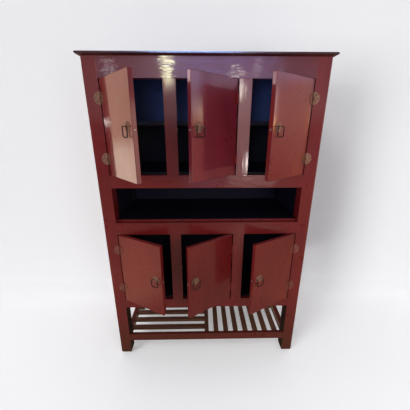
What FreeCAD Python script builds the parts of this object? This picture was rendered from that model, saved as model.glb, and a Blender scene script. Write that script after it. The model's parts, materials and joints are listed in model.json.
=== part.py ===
import FreeCAD, Part
import os
import re
import Sketcher

# Six-door lacquer cabinet: frame and panel carcass, inset doors, open niche and slatted bottom shelf.
# Frame: x to the viewer's right, y to the back, z up, origin on the floor below the middle of the whole with its
# doors ajar. Each piece is drawn about the middle of the carcass and then set back.

# Driving sizes in millimetres and degrees
SIZES = {
    # Carcass
    "body_width": 1160,
    "body_depth": 460,
    "post_size": 68,
    "post_rounding": 5,
    "foot_rounding": 20,
    "mullion_width": 62,
    "mullion_depth": 24,
    # Front heights from the floor up
    "bay_height": 380,
    "bottom_rail_height": 60,
    "lower_door_height": 446,
    "lower_rail_height": 71,
    "niche_height": 201,
    "upper_rail_height": 69,
    "upper_door_height": 458,
    "top_rail_height": 92,
    "stretcher_lift": 112,
    "stretcher_height": 50,
    # Rails, panels and their joints
    "front_rail_depth": 40,
    "stretcher_depth": 18,
    "rail_thickness": 28,
    "tenon_length": 24,
    "tenon_thickness": 10,
    "tenon_shoulder": 8,
    "joint_clearance": 0.2,
    "side_panel_thickness": 14,
    "back_panel_thickness": 8,
    "groove_depth": 8,
    # Floors and shelf
    "deck_thickness": 12,
    "deck_clearance": 0.8,
    "shelf_rise": 252,
    "shelf_thickness": 22,
    "shelf_setback": 200,
    "batten_size": 20,
    # Slatted bottom shelf
    "long_slat_width": 29,
    "cross_slat_width": 32,
    "slat_thickness": 18,
    "slat_recess": 4,
    "divider_width": 28,
    # Top board
    "top_overhang": 18,
    "top_taper": 6,
    "top_band": 8,
    "top_rounding": 3,
    # Doors
    "door_thickness": 22,
    "door_gap": 2.5,
    "door_rounding": 2,
    "upper_left_open_angle": 48.4,
    "upper_middle_open_angle": 42.7,
    "upper_right_open_angle": 37.5,
    "lower_left_open_angle": 28.5,
    "lower_middle_open_angle": 33.6,
    "lower_right_open_angle": 28.5,
    # Hinges
    "hinge_disc_radius": 30,
    "leaf_thickness": 1.5,
    "hinge_axis_offset": 4.5,
    "knuckle_radius": 4,
    "knuckle_length": 50,
    "knuckle_middle": 20,
    "knuckle_gap": 0.3,
    "pin_radius": 2,
    "pin_clearance": 0.08,
    "pin_cap_radius": 3.2,
    "pin_cap_height": 2,
    "upper_hinge_inset": 86,
    "lower_hinge_inset": 96,
    # Pulls
    "plate_radius": 23,
    "plate_thickness": 1.5,
    "pull_inset": 40,
    "pull_lift": 10,
    "pull_axis_reach": 15,
    "pull_axis_rise": 4,
    "pull_post_radius": 3,
    "pull_post_spread": 13,
    "bail_spread": 21,
    "bail_drop": 33,
    "bail_corner_radius": 11,
    "bail_radius": 2.5,
    "bail_pin_radius": 1.6,
    # Ball catches
    "ball_radius": 3.5,
    "ball_projection": 2,
    "ball_clearance": 0.08,
    "barrel_radius": 5,
    "barrel_length": 16,
    "barrel_lip": 0.5,
    "strike_radius": 8,
    "strike_thickness": 1,
    "strike_hole_radius": 2.5,
    # How far a cutting shape stands out past what it cuts
    "cut_margin": 1,
}
LONG_SLATS = 6
CROSS_SLATS = 7

# Levels of the front, as formulas of the driving sizes
LOWER_DOOR_Z = "(bay_height + bottom_rail_height)"
LOWER_RAIL_Z = f"({LOWER_DOOR_Z} + lower_door_height)"
NICHE_Z = f"({LOWER_RAIL_Z} + lower_rail_height)"
UPPER_RAIL_Z = f"({NICHE_Z} + niche_height)"
UPPER_DOOR_Z = f"({UPPER_RAIL_Z} + upper_rail_height)"
TOP_RAIL_Z = f"({UPPER_DOOR_Z} + upper_door_height)"
TOP_Z = f"({TOP_RAIL_Z} + top_rail_height)"

# Half widths and front plane
INNER_X = "(body_width / 2 - post_size)"
INNER_Y = "(body_depth / 2 - post_size)"
FRONT_Y = "(-body_depth / 2)"
OPENING = f"((2 * {INNER_X} - 2 * mullion_width) / 3)"

# Name, lowest level and height of the rails that run round the carcass
RAIL_LEVELS = {
    "stretcher": ("stretcher_lift", "stretcher_height"),
    "bottom_rail": ("bay_height", "bottom_rail_height"),
    "lower_rail": (LOWER_RAIL_Z, "lower_rail_height"),
    "upper_rail": (UPPER_RAIL_Z, "upper_rail_height"),
    "top_rail": (TOP_RAIL_Z, "top_rail_height"),
}
# Lowest level and height of each row of panels, with the rails below and above it
PANEL_ROWS = {
    "lower": (LOWER_DOOR_Z, "lower_door_height", "bottom_rail", "lower_rail"),
    "niche": (NICHE_Z, "niche_height", "lower_rail", "upper_rail"),
    "upper": (UPPER_DOOR_Z, "upper_door_height", "upper_rail", "top_rail"),
}
LEFT, RIGHT = -1, 1
LOWER_END, UPPER_END = 0, 1
# Name, row, number of the opening from the left and hinge side of each door
DOORS = [
    ("upper_left", "upper", 0, LEFT),
    ("upper_middle", "upper", 1, RIGHT),
    ("upper_right", "upper", 2, RIGHT),
    ("lower_left", "lower", 0, LEFT),
    ("lower_middle", "lower", 1, RIGHT),
    ("lower_right", "lower", 2, RIGHT),
]
DOOR_ROWS = {
    "upper": (UPPER_DOOR_Z, "upper_door_height", "upper_hinge_inset"),
    "lower": (LOWER_DOOR_Z, "lower_door_height", "lower_hinge_inset"),
}
DOOR_WIDTH = f"({OPENING} - 2 * door_gap)"

# How far the door that stands widest open comes out in front, and how far that sets the carcass back
WIDEST_OPEN = "max(" + "; ".join(f"{name}_open_angle" for name, *_ in DOORS) + ")"
CORNER_X = f"(door_gap / 2 + {DOOR_WIDTH} - door_rounding)"
CORNER_Y = "(hinge_axis_offset + door_rounding)"
DOOR_REACH = f"({CORNER_X} * sin({WIDEST_OPEN}) + {CORNER_Y} * (1 - cos({WIDEST_OPEN})))"
SETBACK = f"({DOOR_REACH} / 2)"

# Starting values that the sheet replaces, and how near an edge lies to the face it is picked by
DRAFT_SIZE = 100
DRAFT_ANGLE = 30
TOUCH = 0.01

X_AXIS = FreeCAD.Vector(1, 0, 0)
Y_AXIS = FreeCAD.Vector(0, 1, 0)
Z_AXIS = FreeCAD.Vector(0, 0, 1)
ALONG_X = FreeCAD.Rotation(Y_AXIS, 90)
ALONG_Y = FreeCAD.Rotation(X_AXIS, -90)
ALONG_Z = FreeCAD.Rotation()
HALF_TURN = FreeCAD.Rotation(Y_AXIS, 180)

doc = FreeCAD.newDocument("cabinet")
nodes = []


def write_sheet():
    """Put every driving size into the sheet under its own name."""
    sheet = doc.addObject("Spreadsheet::Sheet", "Sizes")
    for row, (alias, value) in enumerate(SIZES.items(), 1):
        sheet.set(f"A{row}", alias)
        sheet.set(f"B{row}", str(value))
        sheet.setAlias(f"B{row}", alias)
    doc.recompute()


def formula(text):
    """Turn a formula of size names into one that reads the sheet."""
    def sheet_name(word):
        return f"Sizes.{word.group()}" if word.group() in SIZES else word.group()
    return re.sub(r"[a-z_]+", sheet_name, text)


def bind(item, sizes):
    for prop, text in sizes.items():
        item.setExpression(prop, formula(text))


def place(item, start, turn=ALONG_Z):
    item.Placement = FreeCAD.Placement(FreeCAD.Vector(), turn)
    for letter, text in zip("xyz", start):
        bind(item, {f"Placement.Base.{letter}": text})


def box(name, start, size):
    item = doc.addObject("Part::Box", name)
    bind(item, dict(zip(("Length", "Width", "Height"), size)))
    place(item, start)
    return item


def cylinder(name, start, radius, height, turn=ALONG_Z):
    item = doc.addObject("Part::Cylinder", name)
    bind(item, {"Radius": radius, "Height": height})
    place(item, start, turn)
    return item


def fuse(name, shapes):
    item = doc.addObject("Part::MultiFuse", name)
    item.Shapes = shapes
    return item


def cut(name, base, tools):
    item = doc.addObject("Part::Cut", name)
    item.Base = base
    item.Tool = tools[0] if len(tools) == 1 else fuse(f"{name}_tools", tools)
    return item


def group(name, shapes):
    item = doc.addObject("Part::Compound", name)
    item.Links = shapes
    return item


def copy(name, master, start, turn=ALONG_Z):
    """Another one of a piece that is made once."""
    item = group(name, [master])
    place(item, start, turn)
    return item


def node(label, item):
    """Set a finished piece back to its place and mark it for writing under its label."""
    item.Label = f"{label}_shape"
    piece = copy(f"{label}_piece", item, ("0", SETBACK, "0"))
    piece.Label = label
    nodes.append(piece)


def round_edges(body, feature, radius, chosen):
    """Round the chosen edges of a body's last feature."""
    doc.recompute()
    names = [f"Edge{n}" for n, edge in enumerate(feature.Shape.Edges, 1) if chosen(edge.BoundBox)]
    fillet = body.newObject("PartDesign::Fillet", f"{body.Name}_{radius}")
    fillet.Base = (feature, names)
    bind(fillet, {"Radius": radius})
    return fillet


# Carcass frame


def bar(name, axis, along, length, across, thickness, z, height):
    """A straight bar along x or y."""
    if axis == "x":
        return box(name, (along, across, z), (length, thickness, height))
    return box(name, (across, along, z), (thickness, length, height))


def tenon(name, axis, side, across, thickness, level, height, spare="0"):
    """A tenon at one end of a rail, or with spare room round it the mortise for it."""
    inner = INNER_X if axis == "x" else INNER_Y
    long = f"tenon_length + {spare}"
    along = inner if side == RIGHT else f"-{inner} - ({long})"
    return bar(
        name,
        axis,
        along,
        long,
        f"{across} + ({thickness}) / 2 - tenon_thickness / 2 - {spare}",
        f"tenon_thickness + 2 * {spare}",
        f"{level} + tenon_shoulder - {spare}",
        f"{height} - 2 * tenon_shoulder + 2 * {spare}",
    )


# Axis, nearest coordinate across and thickness of the rails of each face
FACES = {
    "front": ("x", FRONT_Y, "front_rail_depth"),
    "back": ("x", "(body_depth / 2 - rail_thickness)", "rail_thickness"),
    "left": ("y", f"(-{INNER_X} - rail_thickness)", "rail_thickness"),
    "right": ("y", INNER_X, "rail_thickness"),
}


def rail_depth(face, level):
    """How thick a rail is, from its outer face inwards."""
    if face == "front" and level == "stretcher":
        return "stretcher_depth"
    _, _, thickness = FACES[face]
    return thickness


def panel_thickness(face):
    return "back_panel_thickness" if face == "back" else "side_panel_thickness"


def panel_slot(name, face, z, height, reach, spare="0"):
    """A panel of one face, or with spare room the slot that takes it, reaching into its frame."""
    axis, across, thickness = FACES[face]
    inner = INNER_X if axis == "x" else INNER_Y
    panel = panel_thickness(face)
    return bar(
        name,
        axis,
        f"-{inner} - ({reach})",
        f"2 * {inner} + 2 * ({reach})",
        f"{across} + {thickness} / 2 - {panel} / 2 - {spare}",
        f"{panel} + 2 * {spare}",
        z,
        height,
    )


def rail_grooves(face, level):
    """Slots in a rail for the panels below and above it."""
    slots = []
    for row, (z, height, below, above) in PANEL_ROWS.items():
        name = f"{face}_{level}_{row}_groove"
        if level == below:
            slots.append(panel_slot(name, face, f"{z} - groove_depth", "groove_depth", "0", "joint_clearance"))
        if level == above:
            slots.append(panel_slot(name, face, f"{z} + {height}", "groove_depth", "0", "joint_clearance"))
    return slots


def mullion_x(number):
    return f"(-{INNER_X} + {OPENING} + {number} * ({OPENING} + mullion_width))"


def mullion_tenon(name, row, number, end, spare="0"):
    """A tenon at one end of a mullion, or with spare room round it the mortise for it."""
    z, height, _ = DOOR_ROWS[row]
    long = f"tenon_length + {spare}"
    start = (
        f"{mullion_x(number)} + tenon_shoulder - {spare}",
        f"{FRONT_Y} + mullion_depth / 2 - tenon_thickness / 2 - {spare}",
        f"{z} + {height}" if end == UPPER_END else f"{z} - ({long})",
    )
    size = (
        f"mullion_width - 2 * tenon_shoulder + 2 * {spare}",
        f"tenon_thickness + 2 * {spare}",
        long,
    )
    return box(name, start, size)


def mullion(row, number):
    """An upright between two doors, tenoned into the rails above and below."""
    z, height, _ = DOOR_ROWS[row]
    name = f"{row}_mullion_{number}"
    size = ("mullion_width", "mullion_depth", height)
    solids = [box(f"{name}_bar", (mullion_x(number), FRONT_Y, z), size)]
    for end in (LOWER_END, UPPER_END):
        solids.append(mullion_tenon(f"{name}_tenon_{end}", row, number, end))
    return fuse(name, solids)


def mullion_mortises(level):
    """Slots in a front rail for the mullions that stand on it or hang from it."""
    slots = []
    for row in DOOR_ROWS:
        _, _, below, above = PANEL_ROWS[row]
        for end, holder in ((LOWER_END, below), (UPPER_END, above)):
            if level != holder:
                continue
            for number in range(2):
                name = f"front_{level}_{row}_mortise_{number}"
                slots.append(mullion_tenon(name, row, number, end, "joint_clearance"))
    return slots


def rail(face, level):
    """One rail with a tenon at each end and with slots for the panels or mullions that it holds."""
    axis, across, _ = FACES[face]
    thickness = rail_depth(face, level)
    inner = INNER_X if axis == "x" else INNER_Y
    z, height = RAIL_LEVELS[level]
    name = f"{face}_{level}"
    body = bar(f"{name}_bar", axis, f"-{inner}", f"2 * {inner}", across, thickness, z, height)
    ends = [
        tenon(f"{name}_tenon_{count}", axis, side, across, thickness, z, height)
        for count, side in enumerate((LEFT, RIGHT))
    ]
    solid = fuse(f"{name}_solid", [body] + ends)
    slots = mullion_mortises(level) if face == "front" else rail_grooves(face, level)
    return cut(f"{name}_slotted", solid, slots) if slots else solid


def post(end, side_face):
    """A corner post with mortises for its rails and grooves for its panels."""
    side = LEFT if side_face == "left" else RIGHT
    depth_side = LEFT if end == "front" else RIGHT
    name = f"{end}_{side_face}"
    body = doc.addObject("PartDesign::Body", f"{name}_post_body")
    block = body.newObject("PartDesign::AdditiveBox", f"{name}_block")
    bind(block, {"Length": "post_size", "Width": "post_size", "Height": TOP_Z})
    x = INNER_X if side == RIGHT else "(-body_width / 2)"
    y = INNER_Y if depth_side == RIGHT else FRONT_Y
    place(block, (x, y, "0"))
    doc.recompute()
    outer = block.Shape.BoundBox.XMax if side == RIGHT else block.Shape.BoundBox.XMin

    def foot_edge(bounds):
        return bounds.ZMax < TOUCH

    def upright_outer_edge(bounds):
        return bounds.ZLength > TOUCH and bounds.XLength < TOUCH and abs(bounds.Center.x - outer) < TOUCH

    foot = round_edges(body, block, "foot_rounding", foot_edge)
    round_edges(body, foot, "post_rounding", upright_outer_edge)
    slots = []
    for face, hand in ((end, side), (side_face, depth_side)):
        axis, across, _ = FACES[face]
        for level, (z, height) in RAIL_LEVELS.items():
            slot_name = f"{name}_{face}_{level}_mortise"
            thickness = rail_depth(face, level)
            slots.append(tenon(slot_name, axis, hand, across, thickness, z, height, "joint_clearance"))
        if face == "front":
            continue
        for row, (z, height, _, _) in PANEL_ROWS.items():
            slot_name = f"{name}_{face}_{row}_slot"
            slots.append(
                panel_slot(
                    slot_name,
                    face,
                    f"{z} - groove_depth",
                    f"{height} + 2 * groove_depth",
                    "groove_depth",
                    "joint_clearance",
                )
            )
    node(f"{name}_post", cut(f"{name}_post", body, slots))


def panels(face):
    """The three panels of one face, each standing in the groove of the rail below it."""
    return [
        panel_slot(
            f"{face}_{row}_panel",
            face,
            f"{z} - groove_depth",
            f"{height} + 2 * groove_depth - deck_clearance",
            "groove_depth - deck_clearance / 2",
        )
        for row, (z, height, _, _) in PANEL_ROWS.items()
    ]


def carcass_frame():
    for end in ("front", "back"):
        for side_face in ("left", "right"):
            post(end, side_face)
    for level in RAIL_LEVELS:
        node(f"front_{level}", rail("front", level))
    node("back_rails", group("back_rails", [rail("back", level) for level in RAIL_LEVELS]))
    side_rails = [rail(face, level) for face in ("left", "right") for level in RAIL_LEVELS]
    node("side_rails", group("side_rails", side_rails))
    node("back_panels", group("back_panels", panels("back")))
    node("side_panels", group("side_panels", panels("left") + panels("right")))
    node("mullions", group("mullions", [mullion(row, n) for row in DOOR_ROWS for n in range(2)]))


# Floors, shelf and top


def floor_board(name, z, front, thickness):
    """A board on the rails or battens, notched round the posts."""
    back = "(body_depth / 2 - rail_thickness / 2 - back_panel_thickness / 2 - deck_clearance)"
    wide = f"({INNER_X} + rail_thickness / 2 - side_panel_thickness / 2 - deck_clearance)"
    narrow = f"({INNER_X} - deck_clearance)"
    deep = f"({INNER_Y} - deck_clearance)"
    middle_front = f"max({front}; -{deep})"
    body = box(
        f"{name}_body",
        (f"-{narrow}", front, z),
        (f"2 * {narrow}", f"{back} - {front}", thickness),
    )
    wings = box(
        f"{name}_wings",
        (f"-{wide}", middle_front, z),
        (f"2 * {wide}", f"{deep} - {middle_front}", thickness),
    )
    return fuse(f"{name}_board", [body, wings])


def floors():
    front = f"({FRONT_Y} + mullion_depth + deck_clearance)"
    node("upper_deck", floor_board("upper", UPPER_DOOR_Z, front, "deck_thickness"))
    node("niche_deck", floor_board("niche", NICHE_Z, front, "deck_thickness"))
    node("lower_deck", floor_board("lower", LOWER_DOOR_Z, front, "deck_thickness"))


def upper_shelf():
    """The shelf behind the upper doors and the battens on the side panels that carry it."""
    z = f"({UPPER_DOOR_Z} + shelf_rise)"
    front = f"({FRONT_Y} + shelf_setback)"
    node("upper_shelf", floor_board("shelf", z, front, "shelf_thickness"))
    panel_face = f"({INNER_X} + rail_thickness / 2 - side_panel_thickness / 2)"
    battens = []
    for side in (LEFT, RIGHT):
        x = f"-{panel_face}" if side == LEFT else f"{panel_face} - batten_size"
        start = (x, front, f"{z} - batten_size")
        size = ("batten_size", f"{INNER_Y} - {front} - deck_clearance", "batten_size")
        battens.append(box(f"batten_{side + 1}", start, size))
    node("shelf_battens", group("shelf_battens", battens))


def slatted_shelf():
    """Open bottom shelf: a divider, slats along the width on the left and across on the right."""
    z = "(stretcher_lift + stretcher_height - slat_recess - slat_thickness)"
    front = f"({FRONT_Y} + stretcher_depth)"
    back = "(body_depth / 2 - rail_thickness)"
    depth = f"({back} - {front})"
    half = f"({INNER_X} - divider_width / 2)"
    pieces = [box("divider", ("-divider_width / 2", front, z), ("divider_width", depth, "slat_thickness"))]
    for n in range(LONG_SLATS):
        y = f"{front} + {n + 1} * {depth} / {LONG_SLATS} - long_slat_width"
        pieces.append(box(f"long_slat_{n}", (f"-{INNER_X}", y, z), (half, "long_slat_width", "slat_thickness")))
    cross_gap = f"(({half} - {CROSS_SLATS} * cross_slat_width) / {CROSS_SLATS + 1})"
    for n in range(CROSS_SLATS):
        x = f"divider_width / 2 + {n + 1} * {cross_gap} + {n} * cross_slat_width"
        pieces.append(box(f"cross_slat_{n}", (x, front, z), ("cross_slat_width", depth, "slat_thickness")))
    node("shelf_slats", group("shelf_slats", pieces))


def top_board():
    """Board whose edge falls back to the carcass below a straight band."""
    body = doc.addObject("PartDesign::Body", "top_body")
    taper = body.newObject("PartDesign::AdditiveWedge", "top_taper_block")
    bind(
        taper,
        {
            "Xmin": "-body_width / 2",
            "Xmax": "body_width / 2",
            "Ymin": "0",
            "Ymax": "top_taper",
            "Zmin": "-body_depth / 2",
            "Zmax": "body_depth / 2",
            "X2min": "-body_width / 2 - top_overhang",
            "X2max": "body_width / 2 + top_overhang",
            "Z2min": "-body_depth / 2",
            "Z2max": "body_depth / 2 + top_overhang",
        },
    )
    place(taper, ("0", "0", TOP_Z), FreeCAD.Rotation(X_AXIS, 90))
    band = body.newObject("PartDesign::AdditiveBox", "top_band_block")
    bind(
        band,
        {
            "Length": "body_width + 2 * top_overhang",
            "Width": "body_depth + top_overhang",
            "Height": "top_band",
        },
    )
    place(band, ("-body_width / 2 - top_overhang", f"{FRONT_Y} - top_overhang", f"{TOP_Z} + top_taper"))
    doc.recompute()
    upper = band.Shape.BoundBox.ZMax

    def upper_edge(bounds):
        return bounds.ZMax > upper - TOUCH

    round_edges(body, band, "top_rounding", upper_edge)
    node("top_board", body)


# Doors and their fittings, each drawn with its hinge axis at the origin and the door shut


def opening_left(opening):
    return f"-{INNER_X} + {opening} * ({OPENING} + mullion_width)"


def hinge_axis(opening, hinge):
    """Where the hinge axis of a door stands, seen from above."""
    left = opening_left(opening)
    x = f"{left} + door_gap / 2" if hinge == LEFT else f"{left} + {OPENING} - door_gap / 2"
    return x, f"{FRONT_Y} - hinge_axis_offset"


def hang(item, name, row, opening, hinge):
    """Put a piece of a door on its hinge axis at the angle at which the door stands."""
    z, _, _ = DOOR_ROWS[row]
    place(item, (*hinge_axis(opening, hinge), z), FreeCAD.Rotation(Z_AXIS, DRAFT_ANGLE))
    sign = "-" if hinge == LEFT else ""
    bind(item, {"Placement.Rotation.Angle": f"{sign}{name}_open_angle"})


def door_slab(name, row, hinge):
    """A flat slab with eased edges and a bore for the catch in its free edge."""
    _, height, _ = DOOR_ROWS[row]
    body = doc.addObject("PartDesign::Body", f"{name}_door_body")
    sketch = body.newObject("Sketcher::SketchObject", f"{name}_door_outline")
    plane = next(item for item in body.Origin.OriginFeatures if item.Role == "XZ_Plane")
    sketch.AttachmentSupport = (plane, [""])
    sketch.MapMode = "FlatFace"
    unit_square = ((0, 0), (1, 0), (1, 1), (0, 1))
    corners = [FreeCAD.Vector(*xy, 0) * DRAFT_SIZE for xy in unit_square]
    for start, end in zip(corners, corners[1:] + corners[:1]):
        sketch.addGeometry(Part.LineSegment(start, end), False)
    for n in range(4):
        sketch.addConstraint(Sketcher.Constraint("Coincident", n, 2, (n + 1) % 4, 1))
        sketch.addConstraint(Sketcher.Constraint("Vertical" if n % 2 else "Horizontal", n))
    sketch.addConstraint(Sketcher.Constraint("Coincident", 0, 1, -1, 1))
    width = sketch.addConstraint(Sketcher.Constraint("DistanceX", 0, 1, 0, 2, DRAFT_SIZE))
    tall = sketch.addConstraint(Sketcher.Constraint("DistanceY", 1, 1, 1, 2, DRAFT_SIZE))
    sketch.renameConstraint(width, "door_width")
    sketch.renameConstraint(tall, "door_height")
    bind(sketch, {"Constraints.door_width": DOOR_WIDTH, "Constraints.door_height": f"{height} - 2 * door_gap"})
    pad = body.newObject("PartDesign::Pad", f"{name}_door_pad")
    pad.Profile = sketch
    pad.Reversed = True
    bind(pad, {"Length": "door_thickness"})
    round_edges(body, pad, "door_rounding", lambda bounds: True)
    x = "door_gap / 2" if hinge == LEFT else f"-door_gap / 2 - {DOOR_WIDTH}"
    place(body, (x, "hinge_axis_offset", "door_gap"))
    free = f"door_gap / 2 + {DOOR_WIDTH} - barrel_length"
    start = (free if hinge == LEFT else f"-({free}) - barrel_length", *catch_place(row))
    bore = cylinder(f"{name}_bore", start, "barrel_radius", "barrel_length", ALONG_X)
    return cut(f"{name}_door", body, [bore])


def catch_place(row):
    """How far behind the hinge axis and how high above the opening's sill a catch sits."""
    _, height, _ = DOOR_ROWS[row]
    return "hinge_axis_offset + door_thickness / 2", f"{height} / 2"


def hinge_leaf(name, side, segments):
    """A half disc on one side of the hinge axis with the knuckles that belong to it."""
    disc = cylinder(
        f"{name}_disc",
        ("0", "hinge_axis_offset - leaf_thickness", "0"),
        "hinge_disc_radius",
        "leaf_thickness",
        ALONG_Y,
    )
    edge = "door_gap / 2"
    reach = "hinge_disc_radius + cut_margin"
    other_half = box(
        f"{name}_other_half",
        (f"-({reach})" if side == RIGHT else f"-{edge}", "0", f"-({reach})"),
        (f"{reach} + {edge}", "hinge_axis_offset + cut_margin", f"2 * ({reach})"),
    )
    room = cylinder(
        f"{name}_room",
        ("0", "0", f"-({reach})"),
        "knuckle_radius + knuckle_gap",
        f"2 * ({reach})",
    )
    solids = [cut(f"{name}_half_disc", disc, [other_half, room])]
    for n, (z, length) in enumerate(segments):
        solids.append(cylinder(f"{name}_knuckle_{n}", ("0", "0", z), "knuckle_radius", length))
        strap = "knuckle_radius + leaf_thickness"
        solids.append(
            box(
                f"{name}_strap_{n}",
                ("0" if side == RIGHT else f"-({strap})", "hinge_axis_offset - leaf_thickness", z),
                (strap, "leaf_thickness", length),
            )
        )
    bore = cylinder(
        f"{name}_bore",
        ("0", "0", f"-({reach})"),
        "pin_radius + pin_clearance",
        f"2 * ({reach})",
    )
    return cut(name, fuse(f"{name}_solid", solids), [bore])


def hinge_pin():
    shank = cylinder("pin_shank", ("0", "0", "-knuckle_length / 2"), "pin_radius", "knuckle_length")
    lower = ("0", "0", "-knuckle_length / 2 - pin_cap_height")
    caps = [
        cylinder("pin_upper_cap", ("0", "0", "knuckle_length / 2"), "pin_cap_radius", "pin_cap_height"),
        cylinder("pin_lower_cap", lower, "pin_cap_radius", "pin_cap_height"),
    ]
    return fuse("hinge_pin", [shank] + caps)


def pull_plate():
    """A round plate with two posts, its centre on the door's face at the origin."""
    toward_viewer = FreeCAD.Rotation(X_AXIS, 90)
    solids = [cylinder("plate_disc", ("0", "0", "0"), "plate_radius", "plate_thickness", toward_viewer)]
    bores = []
    for side in (LEFT, RIGHT):
        x = f"{side} * pull_post_spread"
        length = "pull_axis_reach + pull_post_radius"
        name = f"pull_post_{side + 1}"
        solids.append(cylinder(name, (x, "0", "pull_axis_rise"), "pull_post_radius", length, toward_viewer))
        start = (f"{x} - pull_post_radius - cut_margin", "-pull_axis_reach", "pull_axis_rise")
        bores.append(
            cylinder(
                f"{name}_bore",
                start,
                "bail_pin_radius + pin_clearance",
                "2 * pull_post_radius + 2 * cut_margin",
                ALONG_X,
            )
        )
    return cut("pull_plate", fuse("pull_plate_solid", solids), bores)


def bail_side(side):
    """One side of a bail: its leg, with the pin at the top and the corner at the bottom."""
    x = f"{side} * bail_spread"
    leg = cylinder(f"bail_leg_{side + 1}", (x, "0", "-bail_drop"), "bail_radius", "bail_drop")
    elbow = doc.addObject("Part::Sphere", f"bail_elbow_{side + 1}")
    bind(elbow, {"Radius": "bail_radius"})
    place(elbow, (x, "0", "0"))
    length = "bail_spread - pull_post_spread + pull_post_radius"
    start = "-bail_spread" if side == LEFT else f"bail_spread - ({length})"
    pin = cylinder(f"bail_pin_{side + 1}", (start, "0", "0"), "bail_pin_radius", length, ALONG_X)
    corner = doc.addObject("Part::Torus", f"bail_corner_{side + 1}")
    corner.Angle3 = 90
    bind(corner, {"Radius1": "bail_corner_radius", "Radius2": "bail_radius"})
    turn = FreeCAD.Rotation(X_AXIS, -90)
    if side == LEFT:
        turn = turn.multiply(FreeCAD.Rotation(Z_AXIS, 90))
    place(corner, (f"{side} * (bail_spread - bail_corner_radius)", "0", "-bail_drop"), turn)
    return [leg, elbow, pin, corner]


def pull_bail():
    """A hanging bail, its pivot axis at the origin."""
    start = ("bail_corner_radius - bail_spread", "0", "-bail_drop - bail_corner_radius")
    length = "2 * (bail_spread - bail_corner_radius)"
    grip = cylinder("bail_grip", start, "bail_radius", length, ALONG_X)
    return fuse("pull_bail", bail_side(LEFT) + bail_side(RIGHT) + [grip])


def catch_barrel():
    """A tube that ends flush with the door's edge at the origin and narrows there round the ball."""
    tube = cylinder("barrel_tube", ("-barrel_length", "0", "0"), "barrel_radius", "barrel_length", ALONG_X)
    room = cylinder(
        "barrel_room",
        ("-barrel_length + barrel_lip", "0", "0"),
        "ball_radius + ball_clearance",
        "barrel_length - 2 * barrel_lip",
        ALONG_X,
    )
    depth = "(ball_radius - ball_projection - barrel_lip)"
    mouth = cylinder(
        "barrel_mouth",
        ("-barrel_length / 2", "0", "0"),
        f"sqrt(ball_radius ^ 2 - {depth} ^ 2) + ball_clearance",
        "barrel_length",
        ALONG_X,
    )
    return cut("catch_barrel", tube, [room, mouth])


def catch_ball():
    ball = doc.addObject("Part::Sphere", "catch_ball")
    bind(ball, {"Radius": "ball_radius"})
    place(ball, ("ball_projection - ball_radius", "0", "0"))
    return ball


def catch_strike():
    """A thin plate on the upright beside the door, with a hole that takes the tip of the ball."""
    disc = cylinder("strike_disc", ("0", "0", "0"), "strike_radius", "strike_thickness", ALONG_X)
    through = "strike_thickness + 2 * cut_margin"
    hole = cylinder("strike_hole", ("-cut_margin", "0", "0"), "strike_hole_radius", through, ALONG_X)
    return cut("catch_strike", disc, [hole])


def doors():
    """The six doors with their hinges, pulls and catches."""
    outer_length = "(knuckle_length / 2 - knuckle_middle / 2 - knuckle_gap)"
    frame_segments = [
        ("knuckle_middle / 2 + knuckle_gap", outer_length),
        ("-knuckle_length / 2", outer_length),
    ]
    frame_leaf = hinge_leaf("frame_leaf", LEFT, frame_segments)
    door_leaf = hinge_leaf("door_leaf", RIGHT, [("-knuckle_middle / 2", "knuckle_middle")])
    pin, plate, bail = hinge_pin(), pull_plate(), pull_bail()
    barrel, ball, strike = catch_barrel(), catch_ball(), catch_strike()
    frame_leaves, pins, strikes = [], [], []
    for name, row, opening, hinge in DOORS:
        _, height, inset = DOOR_ROWS[row]
        turn = ALONG_Z if hinge == LEFT else HALF_TURN
        hinge_heights = (inset, f"{height} - {inset}")
        hung = {f"{name}_door": door_slab(name, row, hinge)}
        leaves = [copy(f"{name}_leaf_{n}", door_leaf, ("0", "0", z), turn) for n, z in enumerate(hinge_heights)]
        hung[f"{name}_hinge_leaves"] = group(f"{name}_hinge_leaves", leaves)
        free_edge = f"{-hinge} * (door_gap / 2 + {DOOR_WIDTH})"
        pull_x = f"{free_edge} + {hinge} * pull_inset"
        pull_z = f"{height} / 2 + pull_lift"
        plate_place = (pull_x, "hinge_axis_offset", pull_z)
        bail_place = (pull_x, "hinge_axis_offset - pull_axis_reach", f"{pull_z} + pull_axis_rise")
        catch = (free_edge, *catch_place(row))
        hung[f"{name}_pull_plate"] = group(f"{name}_plate", [copy(f"{name}_plate_copy", plate, plate_place)])
        hung[f"{name}_pull_bail"] = group(f"{name}_bail", [copy(f"{name}_bail_copy", bail, bail_place)])
        hung[f"{name}_catch_barrel"] = group(f"{name}_barrel", [copy(f"{name}_barrel_copy", barrel, catch, turn)])
        hung[f"{name}_catch_ball"] = group(f"{name}_ball", [copy(f"{name}_ball_copy", ball, catch, turn)])
        for label, item in hung.items():
            hang(item, name, row, opening, hinge)
            node(label, item)
        z, _, _ = DOOR_ROWS[row]
        left = opening_left(opening)
        pivot_x, pivot_y = hinge_axis(opening, hinge)
        for n, height_above in enumerate(hinge_heights):
            axis_place = (pivot_x, pivot_y, f"{z} + {height_above}")
            frame_leaves.append(copy(f"{name}_frame_leaf_{n}", frame_leaf, axis_place, turn))
            pins.append(copy(f"{name}_pin_{n}", pin, axis_place))
        strike_x = f"{left} + {OPENING} - strike_thickness" if hinge == LEFT else left
        catch_y, catch_z = catch_place(row)
        strike_place = (strike_x, f"{pivot_y} + {catch_y}", f"{z} + {catch_z}")
        strikes.append(copy(f"{name}_strike", strike, strike_place))
    node("hinge_frame_leaves", group("hinge_frame_leaves", frame_leaves))
    node("hinge_pins", group("hinge_pins", pins))
    node("catch_strikes", group("catch_strikes", strikes))


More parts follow.
